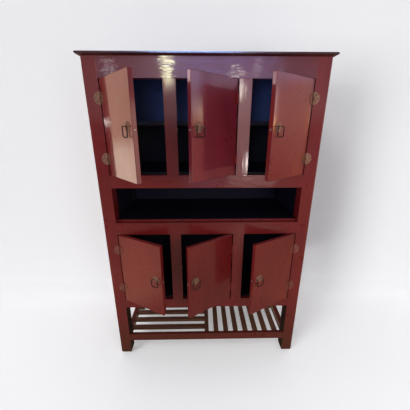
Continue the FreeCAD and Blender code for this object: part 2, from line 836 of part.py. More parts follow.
def write_parts():
    """Recompute, stop on any fault and write one file for each piece."""
    doc.recompute()
    for item in doc.Objects:
        if "Invalid" in item.State or "Error" in item.State:
            raise RuntimeError(f"{item.Label} did not recompute: {item.State}")
    os.makedirs("parts", exist_ok=True)
    for item in nodes:
        if item.Shape.isNull() or not item.Shape.isValid():
            raise RuntimeError(f"{item.Label} has no valid shape")
        item.Shape.exportStep(f"parts/{item.Label}.step")


write_sheet()
carcass_frame()
floors()
upper_shelf()
slatted_shelf()
top_board()
doors()
write_parts()
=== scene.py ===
import json
import math
import random

import bmesh
import bpy
from mathutils import Matrix, Vector


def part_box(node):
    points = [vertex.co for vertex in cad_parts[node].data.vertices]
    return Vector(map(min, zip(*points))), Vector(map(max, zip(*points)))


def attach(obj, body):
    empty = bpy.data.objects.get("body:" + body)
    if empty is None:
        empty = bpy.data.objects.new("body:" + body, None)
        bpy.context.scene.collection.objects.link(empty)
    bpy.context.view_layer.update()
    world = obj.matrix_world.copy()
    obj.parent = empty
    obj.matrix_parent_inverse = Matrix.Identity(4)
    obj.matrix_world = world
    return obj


# Looks of the six-door lacquer cabinet, in metres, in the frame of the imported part: x to the viewer's right,
# y to the back, z up, floor at zero.

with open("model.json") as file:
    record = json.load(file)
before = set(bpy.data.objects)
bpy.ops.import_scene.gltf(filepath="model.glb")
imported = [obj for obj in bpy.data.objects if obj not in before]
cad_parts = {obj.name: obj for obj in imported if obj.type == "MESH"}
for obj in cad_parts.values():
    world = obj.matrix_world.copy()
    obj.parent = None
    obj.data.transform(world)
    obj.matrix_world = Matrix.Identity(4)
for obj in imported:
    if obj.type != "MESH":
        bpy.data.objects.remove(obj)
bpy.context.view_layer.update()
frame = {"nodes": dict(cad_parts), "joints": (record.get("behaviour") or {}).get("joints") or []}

DOORS = ("upper_left", "upper_middle", "upper_right", "lower_left", "lower_middle", "lower_right")
PAINTED_DOORS = ("upper_middle", "lower_middle")

# Camera of the photograph
CAMERA_PLACE = (-0.0349, -1.3455, 1.4585)
CAMERA_PITCH = 17.91
CAMERA_YAW = 1.05
CAMERA_LENS = 20.595
CAMERA_SENSOR = 36.0

# Backdrop: floor, curve and wall in one sheet
WALL_Y = 0.52
CURVE_RADIUS = 0.14
STAGE_HALF_WIDTH = 7.0
STAGE_FRONT = -6.0
STAGE_TOP = 4.5
CURVE_STEPS = 24
WALL_GLOW = 0.062
FLOOR_GLOW = 0.25
NEAR_GLOW = 0.13
GLOW_RISE = 3.0
NEAR_GLOW_DEPTHS = (0.25, -0.75)

# Nails
NAIL_RADIUS = 0.0030
NAIL_HEIGHT = 0.0011
NAIL_RINGS = 4
NAIL_SIDES = 14
NAIL_SEED = 7
HINGE_RADIUS = 0.030
HINGE_NAIL_RADIUS = 0.021
HINGE_NAIL_ANGLES = (-52, 0, 52)
PLATE_NAIL_RADIUS = 0.018
PLATE_NAIL_ANGLES = (90, 210, 330)
LEAF_BEHIND_AXIS = 0.003
PLATE_THICKNESS = 0.0015

# Finishes
BEVEL_SAMPLES = 4
BRUSH_FINENESS = 6.0
RIPPLE_FINENESS = 2.4
RIPPLE_LENGTHWISE = 15.0
METAL_PITS = 0.00004
LACQUER_IOR = 1.45
COAT_IOR = 1.55
COAT_ROUGHNESS = 0.06
DULL_ROUGHNESS = 0.62
DULL_COAT = 0.05
DULL_FROM = 0.6
DULL_FULL = 0.95

# Heights at which the paint inside and its painted shade change
LOWER_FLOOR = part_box("lower_deck")[0].z
NICHE_MIDDLE = (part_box("front_lower_rail")[1].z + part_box("front_upper_rail")[0].z) / 2
NICHE_HALF = (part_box("front_upper_rail")[0].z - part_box("front_lower_rail")[1].z) / 2
SHELF_MIDDLE = (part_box("upper_shelf")[0].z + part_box("upper_shelf")[1].z) / 2
PAINT_BLEND = 0.002
FLOOR_BLEND = 0.001
NICHE_BLEND = (0.03, 0.02)

# Borders of the paint and painted shade inside, as distances across or depths where it begins and where it is
# full
SIDE_BORDER = (0.5290, 0.5270)
POST_BORDER = (0.5135, 0.5125)
BACK_RAIL_BORDER = (0.3150, 0.3140)
BACK_POST_BORDER = (0.2750, 0.2740)
BACK_PANEL_BORDER = (0.3275, 0.3265)
LIP_BORDER = (-0.0925, -0.0915)
UNDER_ALL = (-1.0, -0.5)

# Painted hinges: the right-hand mullions and the reach of the frame leaves from their middle
HINGE_MULLION_X = 0.165
HINGE_BORDER = (0.036, 0.034)
LOW_HINGE_BLEND = 0.01

# Tints of the lights
WHITE = (1.0, 1.0, 1.0)
WARM_WHITE = (1.0, 0.98, 0.96)
FILL_WHITE = (1.0, 0.98, 0.95)


# Node trees


class Shader:
    """A node tree with short ways to add nodes and to join them."""

    def __init__(self, tree):
        self.tree = tree
        self.tree.nodes.clear()

    def add(self, kind, inputs=None, **settings):
        node = self.tree.nodes.new(kind)
        for name, value in settings.items():
            setattr(node, name, value)
        for name, value in (inputs or {}).items():
            self.feed(node.inputs[name], value)
        return node

    def feed(self, socket, value):
        if isinstance(value, bpy.types.NodeSocket):
            self.tree.links.new(value, socket)
        else:
            socket.default_value = value

    def place(self):
        return self.add("ShaderNodeTexCoord").outputs["Object"]

    def stretched(self, scale):
        return self.add("ShaderNodeMapping", {"Vector": self.place(), "Scale": scale}).outputs["Vector"]

    def noise(self, vector, scale, detail=3.0, roughness=0.5, distortion=0.0):
        values = {
            "Vector": vector,
            "Scale": scale,
            "Detail": detail,
            "Roughness": roughness,
            "Distortion": distortion,
        }
        return self.add("ShaderNodeTexNoise", values).outputs[0]

    def math(self, operation, first, second=0.0, clamp=False):
        node = self.add("ShaderNodeMath", {0: first, 1: second}, operation=operation, use_clamp=clamp)
        return node.outputs[0]

    def span(self, value, low, high, to_low=0.0, to_high=1.0):
        """Map a range of a value onto another range, held at its ends."""
        ends = {"Value": value, "From Min": low, "From Max": high, "To Min": to_low, "To Max": to_high}
        return self.add("ShaderNodeMapRange", ends, clamp=True).outputs["Result"]

    def mix(self, factor, first, second, blend="MIX"):
        node = self.add("ShaderNodeMix", data_type="RGBA", blend_type=blend)
        self.feed(node.inputs[0], factor)
        self.feed(node.inputs[6], first)
        self.feed(node.inputs[7], second)
        return node.outputs[2]

    def axes(self):
        return self.add("ShaderNodeSeparateXYZ", {0: self.place()}).outputs

    def bump(self, height, distance, normal=None):
        values = {"Height": height, "Distance": distance, "Strength": 1.0}
        if normal is not None:
            values["Normal"] = normal
        return self.add("ShaderNodeBump", values).outputs[0]

    def bevel(self, radius):
        return self.add("ShaderNodeBevel", {"Radius": radius}, samples=BEVEL_SAMPLES).outputs[0]

    def upward(self, kind="True Normal"):
        """How far a face looks up: one on a floor, nought on a wall."""
        normal = self.add("ShaderNodeNewGeometry").outputs[kind]
        return self.add("ShaderNodeSeparateXYZ", {0: normal}).outputs["Z"]

    def edges(self, radius, low, high):
        """One near an outer or inner edge, nought on the flat."""
        bent = self.bevel(radius)
        true = self.add("ShaderNodeNewGeometry").outputs["True Normal"]
        product = self.add("ShaderNodeVectorMath", {0: bent, 1: true}, operation="DOT_PRODUCT")
        return self.span(self.math("SUBTRACT", 1.0, product.outputs["Value"]), low, high)

    def principled(self, inputs):
        node = self.add("ShaderNodeBsdfPrincipled", inputs)
        self.surface(node.outputs[0])

    def surface(self, socket):
        output = self.add("ShaderNodeOutputMaterial")
        self.tree.links.new(socket, output.inputs["Surface"])


def colour(red, green, blue):
    return (red, green, blue, 1.0)


def new_material(name):
    material = bpy.data.materials.new(name)
    material.use_nodes = True
    return material, Shader(material.node_tree)


ALONG_X = (1.6, 26.0, 26.0)
ALONG_Y = (26.0, 1.6, 26.0)
ALONG_Z = (26.0, 26.0, 1.6)


def lacquer_colour(shader, dark, bright, grain):
    """Brushed streaks along the grain under slow clouds, browner and duller toward the floor as painted shade.
    """
    streaks = shader.noise(shader.stretched(grain), 1.0, detail=6.0, roughness=0.62, distortion=0.3)
    clouds = shader.noise(shader.place(), 3.6, detail=4.0, roughness=0.55)
    streak_share = shader.math("MULTIPLY", streaks, 0.45)
    both = shader.math("ADD", streak_share, shader.math("MULTIPLY", clouds, 0.55))
    base = shader.mix(shader.span(both, 0.32, 0.68), dark, bright)
    # Painted shade: the colour turns to a darker brown toward the floor.
    height = shader.math("ADD", shader.axes()["Z"], shader.math("MULTIPLY", clouds, 0.2))
    return shader.mix(shader.span(height, 0.5, 0.1), base, FOOT_SHADE_BROWN), clouds


def lacquer_normal(shader, grain, waviness, ripple, edge_radius):
    """Soft edges, a faint wave, ripples and brush lines along the grain, and the skin of the lacquer."""
    soft = shader.bevel(edge_radius)
    wave = shader.noise(shader.place(), 6.5, detail=2.0, roughness=0.45)
    waved = shader.bump(wave, waviness, soft)
    fine = [value * BRUSH_FINENESS for value in grain]
    lines = shader.noise(shader.stretched(fine), 1.0, detail=3.0, roughness=0.6)
    stretch = [max(value * RIPPLE_FINENESS, RIPPLE_LENGTHWISE) for value in grain]
    runs = shader.noise(shader.stretched(stretch), 1.0, detail=2.0, roughness=0.5)
    brushed = shader.bump(lines, 0.00006, shader.bump(runs, ripple, waved))
    skin = shader.noise(shader.place(), 260.0, detail=2.0, roughness=0.5)
    return shader.bump(skin, 0.000012, brushed)


def lacquer(name, dark, bright, grain, worn, rough=(0.24, 0.42), coat=1.0, coat_rough=COAT_ROUGHNESS,
            waviness=0.0008, ripple=0.0001, edge=0.0022, inner=None):
    """Gloss lacquer over wood, rubbed at the edges, dull on top, with painted shade inside where inner says
    so.
    """
    material, shader = new_material(name)
    base, clouds = lacquer_colour(shader, dark, bright, grain)
    patches = shader.noise(shader.place(), 38.0, detail=4.0, roughness=0.6)
    at_edges = shader.edges(0.0035, 0.03, 0.22)
    rubbed = shader.math("MULTIPLY", at_edges, shader.span(patches, 0.47, 0.66), clamp=True)
    base = shader.mix(shader.math("MULTIPLY", rubbed, 0.75), base, worn)
    smears = shader.noise(shader.place(), 9.0, detail=5.0, roughness=0.62)
    scuffs = shader.math("ADD", smears, shader.math("MULTIPLY", rubbed, 0.3))
    roughness = shader.span(scuffs, 0.3, 0.75, *rough)
    dull = shader.span(shader.upward(), DULL_FROM, DULL_FULL)
    if inner is not None:
        inside = inner(shader)
        # Inner faces take the inside paint with its painted shade.
        base = shader.mix(inside, base, inner_paint_and_shade(shader, clouds))
        dull = shader.math("MAXIMUM", dull, inside)
    roughness = shader.math("MAXIMUM", roughness, shader.math("MULTIPLY", dull, DULL_ROUGHNESS))
    normal = lacquer_normal(shader, grain, waviness, ripple, edge)
    shader.principled({
        "Base Color": base,
        "Roughness": roughness,
        "Normal": normal,
        "Coat Normal": normal,
        "Coat Weight": shader.span(dull, 0.0, 1.0, coat, DULL_COAT),
        "Coat Roughness": coat_rough,
        "Coat IOR": COAT_IOR,
        "IOR": LACQUER_IOR,
    })
    return material


def inner_paint_and_shade(shader, clouds):
    """Dark blue over the shelf; painted shade: blue-black below it, black in the niche, brown-black under
    floors.
    """
    navy = shader.mix(clouds, colour(0.024, 0.045, 0.150), colour(0.036, 0.064, 0.210))
    # Painted shade: darker below the shelf, in the niche and under the lower floor.
    brown = shader.mix(clouds, colour(0.022, 0.007, 0.004), colour(0.034, 0.011, 0.007))
    dusk = shader.mix(clouds, colour(0.003, 0.004, 0.010), colour(0.005, 0.007, 0.016))
    black = shader.mix(clouds, colour(0.003, 0.003, 0.011), colour(0.006, 0.006, 0.019))
    height = shader.axes()["Z"]
    below = shader.mix(shader.span(height, LOWER_FLOOR - PAINT_BLEND, LOWER_FLOOR), brown, dusk)
    over_shelf = shader.span(height, SHELF_MIDDLE - PAINT_BLEND, SHELF_MIDDLE + PAINT_BLEND)
    rooms = shader.mix(over_shelf, below, navy)
    off = shader.math("ABSOLUTE", shader.math("SUBTRACT", height, NICHE_MIDDLE))
    in_niche = shader.span(off, *(NICHE_HALF + blend for blend in NICHE_BLEND))
    return shader.mix(in_niche, rooms, black)


def above_lower_floor(shader):
    return shader.span(shader.axes()["Z"], LOWER_FLOOR - FLOOR_BLEND, LOWER_FLOOR)


def across(shader):
    """Distance from the middle plane to the left or to the right."""
    return shader.math("ABSOLUTE", shader.axes()["X"])


def inside_of_sides(shader):
    """One on the inner face of the side panels."""
    return shader.span(across(shader), *SIDE_BORDER)


# Painted shade: the legs' inner faces below the lower floor take the brown-black.
def inside_of_front_legs(shader):
    inward = shader.span(across(shader), *POST_BORDER)
    return shader.math("MULTIPLY", inward, shader.math("SUBTRACT", 1.0, above_lower_floor(shader)))


def inside_of_side_rails(shader):
    inward = shader.span(across(shader), *POST_BORDER)
    return shader.math("MULTIPLY", inward, above_lower_floor(shader))


def inside_of_back_rails(shader):
    inward = shader.span(shader.axes()["Y"], *BACK_RAIL_BORDER)
    return shader.math("MULTIPLY", inward, above_lower_floor(shader))


def inside_of_back_posts(shader):
    """One on the inward and forward faces of the back posts, as far as the panels."""
    inward = shader.span(across(shader), *POST_BORDER)
    sideways = shader.math("MULTIPLY", inward, inside_of_back_panels(shader))
    ahead = shader.span(shader.axes()["Y"], *BACK_POST_BORDER)
    forward = shader.math("MULTIPLY", ahead, inside_of_sides(shader))
    return shader.math("MULTIPLY", shader.math("MAXIMUM", sideways, forward), above_lower_floor(shader))


def inside_of_back_panels(shader):
    return shader.span(shader.axes()["Y"], *BACK_PANEL_BORDER)


def behind_lip(shader):
    """One on a floor behind its front lip."""
    return shader.span(shader.axes()["Y"], *LIP_BORDER)


def everywhere_inside(shader):
    return shader.span(shader.axes()["Z"], *UNDER_ALL)


def painted_over(shader):
    """One on the middle doors' frame leaves, which sit on the right-hand mullions, less on low hinges."""
    off = shader.math("ABSOLUTE", shader.math("SUBTRACT", shader.axes()["X"], HINGE_MULLION_X))
    return shader.math("MAXIMUM", shader.span(off, *HINGE_BORDER), brushed_over(shader))


def brushed_over(shader):
    """How far the hinges of the lower doors have caught the paint of the door."""
    patches = shader.noise(shader.place(), 55.0, detail=3.0, roughness=0.6)
    low = shader.span(shader.axes()["Z"], NICHE_MIDDLE + LOW_HINGE_BLEND, NICHE_MIDDLE)
    return shader.math("MULTIPLY", low, shader.span(patches, 0.35, 0.65, 0.35, 0.85))


def metal(name, dark, bright, patina, rough=(0.28, 0.5), grime=0.55, bareness=1.0, painted=None):
    """Aged metal: mottled, dull in patches and dark where grime gathers."""
    material, shader = new_material(name)
    mottle = shader.noise(shader.place(), 95.0, detail=5.0, roughness=0.62)
    blots = shader.noise(shader.place(), 34.0, detail=4.0, roughness=0.6)
    base = shader.mix(shader.span(mottle, 0.34, 0.66), dark, bright)
    dirt = shader.math("MULTIPLY", shader.span(blots, 0.48, 0.7), grime)
    base = shader.mix(dirt, base, patina)
    bare = shader.span(dirt, 0.0, 0.6, bareness, 0.55 * bareness)
    covered = 0.0
    if painted is not None:
        covered = painted(shader)
        base = shader.mix(covered, base, RED_BRIGHT)
        bare = shader.math("MULTIPLY", bare, shader.math("SUBTRACT", 1.0, covered))
    roughness = shader.span(mottle, 0.3, 0.7, *rough)
    grainy = shader.noise(shader.place(), 900.0, detail=3.0, roughness=0.6)
    hammered = shader.bump(blots, 0.0004, shader.bevel(0.0006))
    shader.principled({
        "Base Color": base,
        "Metallic": bare,
        "Roughness": roughness,
        "Normal": shader.bump(grainy, METAL_PITS, hammered),
        "Coat Weight": covered,
        "Coat Roughness": COAT_ROUGHNESS,
        "Coat IOR": COAT_IOR,
    })
    return material


RED_DARK = colour(0.205, 0.0125, 0.0125)
RED_BRIGHT = colour(0.300, 0.0190, 0.0175)
RED_WORN = colour(0.085, 0.018, 0.012)
# Painted shade: the darker brown the lacquer takes toward the floor.
FOOT_SHADE_BROWN = colour(0.115, 0.018, 0.004)


def red(name, grain, **changes):
    return lacquer(name, RED_DARK, RED_BRIGHT, grain, RED_WORN, **changes)


MATERIALS = {
    "upright_red": red("upright_red", ALONG_Z),
    "front_post_red": red("front_post_red", ALONG_Z, inner=inside_of_front_legs),
    "back_post_red": red("back_post_red", ALONG_Z, inner=inside_of_back_posts),
    "rail_red": red("rail_red", ALONG_X, ripple=0.0008),
    # Painted shade: a darker copy of the red lacquer for the top rail.
    "top_rail_shaded_red": lacquer(
        "top_rail_shaded_red", colour(0.165, 0.0125, 0.0125), colour(0.240, 0.0190, 0.0175), ALONG_X, RED_WORN,
        ripple=0.0008,
    ),
    "back_rail_red": red("back_rail_red", ALONG_X, inner=inside_of_back_rails),
    "side_rail_red": red("side_rail_red", ALONG_Y, inner=inside_of_side_rails),
    "side_red": red("side_red", ALONG_Z, inner=inside_of_sides),
    "lip_red": red("lip_red", ALONG_X, inner=behind_lip),
    # Painted shade: a much darker copy of the red lacquer for the top board.
    "top_board_shaded_red": lacquer(
        "top_board_shaded_red", colour(0.062, 0.013, 0.013), colour(0.105, 0.021, 0.019), ALONG_X, RED_WORN,
        rough=(0.26, 0.46), edge=0.010,
    ),
    "door_red": red("door_red", ALONG_Z, waviness=0.0007),
    # Painted reflection: a purpler copy of the door red, for the haze the upper middle door reflects.
    "door_crimson_reflection": lacquer(
        "door_crimson_reflection", colour(0.200, 0.018, 0.030), colour(0.290, 0.026, 0.044), ALONG_Z, RED_WORN,
        waviness=0.0007,
    ),
    # Decks and battens inside: dark blue paint with painted shade below the shelf and in the niche.
    "inner_blue_and_shade": red("inner_blue_and_shade", ALONG_X, inner=everywhere_inside),
    "back_brown": lacquer(
        "back_brown", colour(0.060, 0.016, 0.010), colour(0.110, 0.030, 0.018), ALONG_Z,
        colour(0.05, 0.025, 0.016), rough=(0.4, 0.6), coat=0.3, coat_rough=0.2, inner=inside_of_back_panels,
    ),
    "shelf_edge": lacquer(
        "shelf_edge", colour(0.020, 0.023, 0.034), colour(0.036, 0.039, 0.054), ALONG_X,
        colour(0.05, 0.045, 0.045), rough=(0.35, 0.55), coat=0.4, coat_rough=0.15,
    ),
    "slat_red": lacquer(
        "slat_red", colour(0.280, 0.140, 0.070), colour(0.460, 0.225, 0.120), ALONG_X,
        colour(0.05, 0.024, 0.016), rough=(0.38, 0.6), coat=0.5, coat_rough=0.18,
    ),
    "hinge_brass": metal(
        "hinge_brass", colour(0.34, 0.165, 0.100), colour(0.59, 0.325, 0.200), colour(0.11, 0.045, 0.03),
        grime=0.6, rough=(0.48, 0.70), bareness=0.45, painted=painted_over,
    ),
    # Painted shade: a darker, redder copy of the hinge brass for the door leaves; the low ones also carry real
    # paint.
    "hinge_shaded_brass": metal(
        "hinge_shaded_brass", colour(0.24, 0.092, 0.056), colour(0.40, 0.195, 0.120), colour(0.10, 0.036, 0.026),
        grime=0.65, rough=(0.42, 0.65), bareness=0.5, painted=brushed_over,
    ),
    "plate_bronze": metal(
        "plate_bronze", colour(0.32, 0.140, 0.085), colour(0.56, 0.300, 0.195), colour(0.10, 0.042, 0.028),
        grime=0.6, rough=(0.48, 0.68), bareness=0.35,
    ),
    "bail_bronze": metal(
        "bail_bronze", colour(0.016, 0.008, 0.006), colour(0.050, 0.026, 0.019), colour(0.022, 0.010, 0.008),
        grime=0.6, rough=(0.45, 0.65), bareness=0.3,
    ),
    "catch_brass": metal(
        "catch_brass", colour(0.45, 0.33, 0.2), colour(0.66, 0.5, 0.32), colour(0.14, 0.1, 0.07),
    ),
    "ball_steel": metal(
        "ball_steel", colour(0.5, 0.5, 0.5), colour(0.74, 0.73, 0.71), colour(0.3, 0.28, 0.26),
        grime=0.3, rough=(0.28, 0.42), bareness=0.45,
    ),
    "nail_iron": metal(
        "nail_iron", colour(0.04, 0.026, 0.020), colour(0.10, 0.070, 0.052), colour(0.02, 0.013, 0.010),
        rough=(0.5, 0.7), bareness=0.4,
    ),
}

NODE_MATERIALS = {
    "top_board": "top_board_shaded_red",
    "front_left_post": "front_post_red",
    "front_right_post": "front_post_red",
    "back_left_post": "back_post_red",
    "back_right_post": "back_post_red",
    "front_stretcher": "rail_red",
    "front_bottom_rail": "rail_red",
    "front_lower_rail": "rail_red",
    "front_upper_rail": "rail_red",
    "front_top_rail": "top_rail_shaded_red",
    "back_rails": "back_rail_red",
    "side_rails": "side_rail_red",
    "back_panels": "back_brown",
    "side_panels": "side_red",
    "mullions": "upright_red",
    "upper_deck": "inner_blue_and_shade",
    "niche_deck": "lip_red",
    "lower_deck": "inner_blue_and_shade",
    "upper_shelf": "shelf_edge",
    "shelf_battens": "inner_blue_and_shade",
    "shelf_slats": "slat_red",
    "hinge_frame_leaves": "hinge_brass",
    "hinge_pins": "hinge_brass",
    "catch_strikes": "catch_brass",
}
DOOR_NODE_MATERIALS = {
    "door": "door_red",
    "hinge_leaves": "hinge_shaded_brass",
    "pull_plate": "plate_bronze",
    "pull_bail": "bail_bronze",
    "catch_barrel": "catch_brass",
    "catch_ball": "ball_steel",
}


def dress(node, material):
    """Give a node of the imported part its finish."""
    slots = frame["nodes"][node].data.materials
    if not slots:
        slots.append(None)
    for number in range(len(slots)):
        slots[number] = MATERIALS[material]


def dress_all():
    for node, material in NODE_MATERIALS.items():
        dress(node, material)
    for door in DOORS:
        for piece, material in DOOR_NODE_MATERIALS.items():
            dress(f"{door}_{piece}", material)
    # Painted reflection: the purpler door red on the upper middle door.
    dress("upper_middle_door", "door_crimson_reflection")
    for door in PAINTED_DOORS:
        dress(f"{door}_hinge_leaves", "upright_red")


# Nails


def joint(name):
    return next(item for item in frame["joints"] if item["name"] == name)


def door_directions(door):
    """Hinge axis, direction to the free edge, direction out of the face and hand, as the door stands."""
    swing = joint(f"{door}_door_swing")
    hand = -swing["axis"][2]
    turn = Matrix.Rotation(math.radians(swing["range_deg"][0]) * hand, 3, "Z")
    return Vector(swing["pos_m"]), turn @ Vector((hand, 0, 0)), turn @ Vector((0, -1, 0)), hand


def add_nail(mesh, centre, out, chance):
    """A low dome with its foot on a surface."""
    radius = NAIL_RADIUS * chance.uniform(0.88, 1.1)
    height = NAIL_HEIGHT * chance.uniform(0.85, 1.1)
    tilt = Vector((chance.uniform(-0.05, 0.05), chance.uniform(-0.05, 0.05), chance.uniform(-0.05, 0.05)))
    turn = (out + tilt).to_track_quat("Z", "Y").to_matrix()
    rings = []
    for step in range(NAIL_RINGS):
        rise = math.pi / 2 * step / NAIL_RINGS
        ring = []
        for side in range(NAIL_SIDES):
            angle = 2 * math.pi * side / NAIL_SIDES
            local = Vector((
                radius * math.cos(rise) * math.cos(angle),
                radius * math.cos(rise) * math.sin(angle),
                height * math.sin(rise),
            ))
            ring.append(mesh.verts.new(centre + turn @ local))
        rings.append(ring)
    tip = mesh.verts.new(centre + turn @ Vector((0, 0, height)))
    for lower, upper in zip(rings, rings[1:]):
        for side in range(NAIL_SIDES):
            after = (side + 1) % NAIL_SIDES
            mesh.faces.new((lower[side], lower[after], upper[after], upper[side]))
    for side in range(NAIL_SIDES):
        mesh.faces.new((rings[-1][side], rings[-1][(side + 1) % NAIL_SIDES], tip))
    mesh.faces.new(list(reversed(rings[0])))


def around(centre, across, radius, degrees):
    angle = math.radians(degrees)
    return centre + across * (radius * math.cos(angle)) + Vector((0, 0, radius * math.sin(angle)))


def hinge_heights(door):
    low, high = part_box(f"{door}_hinge_leaves")
    return low.z + HINGE_RADIUS, high.z - HINGE_RADIUS


def finish_nails(mesh, name, body):
    data = bpy.data.meshes.new(name)
    mesh.to_mesh(data)
    mesh.free()
    for face in data.polygons:
        face.use_smooth = True
    data.materials.append(MATERIALS["nail_iron"])
    nails = bpy.data.objects.new(name, data)
    bpy.context.scene.collection.objects.link(nails)
    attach(nails, body)


def nail_door(door, chance):
    mesh = bmesh.new()
    axis, along, out, _ = door_directions(door)
    for height in () if door in PAINTED_DOORS else hinge_heights(door):
        hinge = Vector((axis.x, axis.y, height)) - out * LEAF_BEHIND_AXIS
        for degrees in HINGE_NAIL_ANGLES:
            add_nail(mesh, around(hinge, along, HINGE_NAIL_RADIUS, degrees), out, chance)
    pivot = Vector(joint(f"{door}_bail_swing")["pos_m"])
    low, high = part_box(f"{door}_pull_plate")
    face = Vector((axis.x, axis.y, 0)) - out * (LEAF_BEHIND_AXIS + PLATE_THICKNESS)
    reach = (pivot - face).dot(along)
    centre = face + along * reach + out * PLATE_THICKNESS
    centre.z = (low.z + high.z) / 2
    for degrees in PLATE_NAIL_ANGLES:
        add_nail(mesh, around(centre, along, PLATE_NAIL_RADIUS, degrees), out, chance)
    finish_nails(mesh, f"{door}_nails", f"{door}_door")


def nail_frame(chance):
    mesh = bmesh.new()
    out = Vector((0, -1, 0))
    for door in DOORS:
        if door in PAINTED_DOORS:
            continue
        axis, _, _, hand = door_directions(door)
        for height in hinge_heights(door):
            hinge = Vector((axis.x, axis.y + LEAF_BEHIND_AXIS, height))
            for degrees in HINGE_NAIL_ANGLES:
                add_nail(mesh, around(hinge, Vector((-hand, 0, 0)), HINGE_NAIL_RADIUS, degrees), out, chance)
    finish_nails(mesh, "frame_nails", "carcass")


def nail_all():
    chance = random.Random(NAIL_SEED)
    for door in DOORS:
        nail_door(door, chance)
    nail_frame(chance)


# Stage, lights and camera


def backdrop_outline():
    """Floor, curve and wall as points of depth and height."""
    points = [(STAGE_FRONT, 0.0), (WALL_Y - CURVE_RADIUS, 0.0)]
    for step in range(1, CURVE_STEPS + 1):
        angle = math.pi / 2 * step / CURVE_STEPS
        depth = WALL_Y - CURVE_RADIUS + CURVE_RADIUS * math.sin(angle)
        points.append((depth, CURVE_RADIUS - CURVE_RADIUS * math.cos(angle)))
    points.append((WALL_Y, STAGE_TOP))
    return points


def backdrop_material():
    """Pale paper that keeps a soft shadow, seen only from its front and dim in the gloss of the lacquer."""
    material, shader = new_material("backdrop_paper")
    path = shader.add("ShaderNodeLightPath").outputs
    fibre = shader.noise(shader.place(), 60.0, detail=4.0, roughness=0.6)
    tone = shader.mix(fibre, colour(0.89, 0.89, 0.89), colour(0.93, 0.93, 0.93))
    paper = shader.add("ShaderNodeBsdfDiffuse", {"Color": tone}).outputs[0]
    rise = shader.math("POWER", shader.upward("Normal"), GLOW_RISE)
    level = shader.span(rise, 0.0, 1.0, WALL_GLOW, FLOOR_GLOW)
    near = shader.span(shader.axes()["Y"], *NEAR_GLOW_DEPTHS, 0.0, NEAR_GLOW)
    glow = shader.math("MULTIPLY", path["Is Camera Ray"], shader.math("ADD", level, near))
    lit = shader.add("ShaderNodeEmission", {"Color": colour(1.0, 1.0, 1.0), "Strength": glow}).outputs[0]
    bright = shader.add("ShaderNodeAddShader", {0: paper, 1: lit}).outputs[0]
    dim = shader.add("ShaderNodeEmission", {"Color": colour(0.16, 0.12, 0.085), "Strength": 1.0}).outputs[0]
    seen = shader.add("ShaderNodeMixShader", {0: path["Is Glossy Ray"], 1: bright, 2: dim}).outputs[0]
    behind = shader.add("ShaderNodeNewGeometry").outputs["Backfacing"]
    clear = shader.math("MAXIMUM", behind, path["Is Shadow Ray"])
    through = shader.add("ShaderNodeBsdfTransparent").outputs[0]
    shader.surface(shader.add("ShaderNodeMixShader", {0: clear, 1: seen, 2: through}).outputs[0])
    return material


def backdrop():
    mesh = bmesh.new()
    rows = [
        [mesh.verts.new((side * STAGE_HALF_WIDTH, depth, height)) for side in (-1, 1)]
        for depth, height in backdrop_outline()
    ]
    for near, far in zip(rows, rows[1:]):
        mesh.faces.new((near[0], near[1], far[1], far[0]))
    data = bpy.data.meshes.new("backdrop")
    mesh.to_mesh(data)
    mesh.free()
    for face in data.polygons:
        face.use_smooth = True
    data.materials.append(backdrop_material())
    sheet = bpy.data.objects.new("backdrop", data)
    bpy.context.scene.collection.objects.link(sheet)
    return sheet


def limit_light(light, falls_on):
    """Let a light fall on the listed objects alone, or on all where the list is empty."""
    if not falls_on:
        return
    receivers = bpy.data.collections.new(f"{light.name}_receivers")
    for receiver in falls_on:
        receivers.objects.link(receiver)
    light.light_linking.receiver_collection = receivers


def card_material(name, low, high, soft):
    """Glow that runs from one colour at the foot to another at the head and fades out over a soft border."""
    material, shader = new_material(name)
    spot = shader.add("ShaderNodeTexCoord").outputs["UV"]
    parts = shader.add("ShaderNodeSeparateXYZ", {0: spot}).outputs
    fade = None
    for axis in ("X", "Y"):
        off = shader.math("ABSOLUTE", shader.math("SUBTRACT", parts[axis], 0.5))
        border = shader.span(off, 0.5, 0.5 - soft)
        fade = border if fade is None else shader.math("MULTIPLY", fade, border)
    tone = shader.mix(parts["Y"], low, high)
    glow = shader.add("ShaderNodeEmission", {"Color": tone, "Strength": fade}).outputs[0]
    clear = shader.add("ShaderNodeBsdfTransparent").outputs[0]
    shader.surface(shader.add("ShaderNodeAddShader", {0: glow, 1: clear}).outputs[0])
    return material


def card(name, centre, target, width, height, low, high=None, soft=0.14, falls_on=()):
    """A card that shows only in the gloss of the lacquer and metal."""
    mesh = bmesh.new()
    layer = mesh.loops.layers.uv.new("UVMap")
    corners = [(-1, -1), (1, -1), (1, 1), (-1, 1)]
    face = mesh.faces.new([mesh.verts.new((x * width / 2, y * height / 2, 0)) for x, y in corners])
    for loop, (x, y) in zip(face.loops, corners):
        loop[layer].uv = ((x + 1) / 2, (y + 1) / 2)
    data = bpy.data.meshes.new(name)
    mesh.to_mesh(data)
    mesh.free()
    data.materials.append(card_material(name, low, high or low, soft))
    sheet = bpy.data.objects.new(name, data)
    bpy.context.scene.collection.objects.link(sheet)
    sheet.location = centre
    sheet.rotation_mode = "QUATERNION"
    sheet.rotation_quaternion = (Vector(target) - Vector(centre)).to_track_quat("Z", "Y")
    sheet.visible_camera = False
    sheet.visible_shadow = False
    sheet.visible_diffuse = False
    limit_light(sheet, falls_on)


